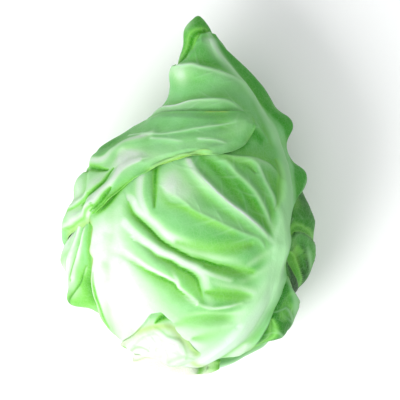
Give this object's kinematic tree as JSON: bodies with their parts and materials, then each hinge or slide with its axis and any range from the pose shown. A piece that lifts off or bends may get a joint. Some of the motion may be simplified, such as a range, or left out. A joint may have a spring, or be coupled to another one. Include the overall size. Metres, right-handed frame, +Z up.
{
  "type": "pointed cabbage",
  "caption": "Pointed cabbage as picked, lying on its side: a dense tapering heart wrapped in ribbed, wavy-edged leaves around a short cut stem.",
  "frame": {"origin": "on the ground, under the middle of the cabbage's overall outline as it lies on its side", "axes": "+Y along the cabbage from its cut stem to its point, +Z up from the ground it lies on, +X towards the side with the bare midrib"},
  "size_m": [0.1634, 0.2306, 0.1225],
  "materials": {
    "heart_green": "matte",
    "leaf_green": "waxy satin",
    "outer_green": "waxy satin",
    "cut_stem": "moist cut surface"
  },
  "bodies": {
    "root": {"heart": "heart_green", "stem": "cut_stem", "right_leaf": "outer_green", "lower_right_leaf": "outer_green", "front_leaf": "leaf_green", "shoulder_leaf": "leaf_green", "left_leaf": "leaf_green", "under_leaf": "outer_green", "stub_leaf": "leaf_green"}
  },
  "joints": []
}
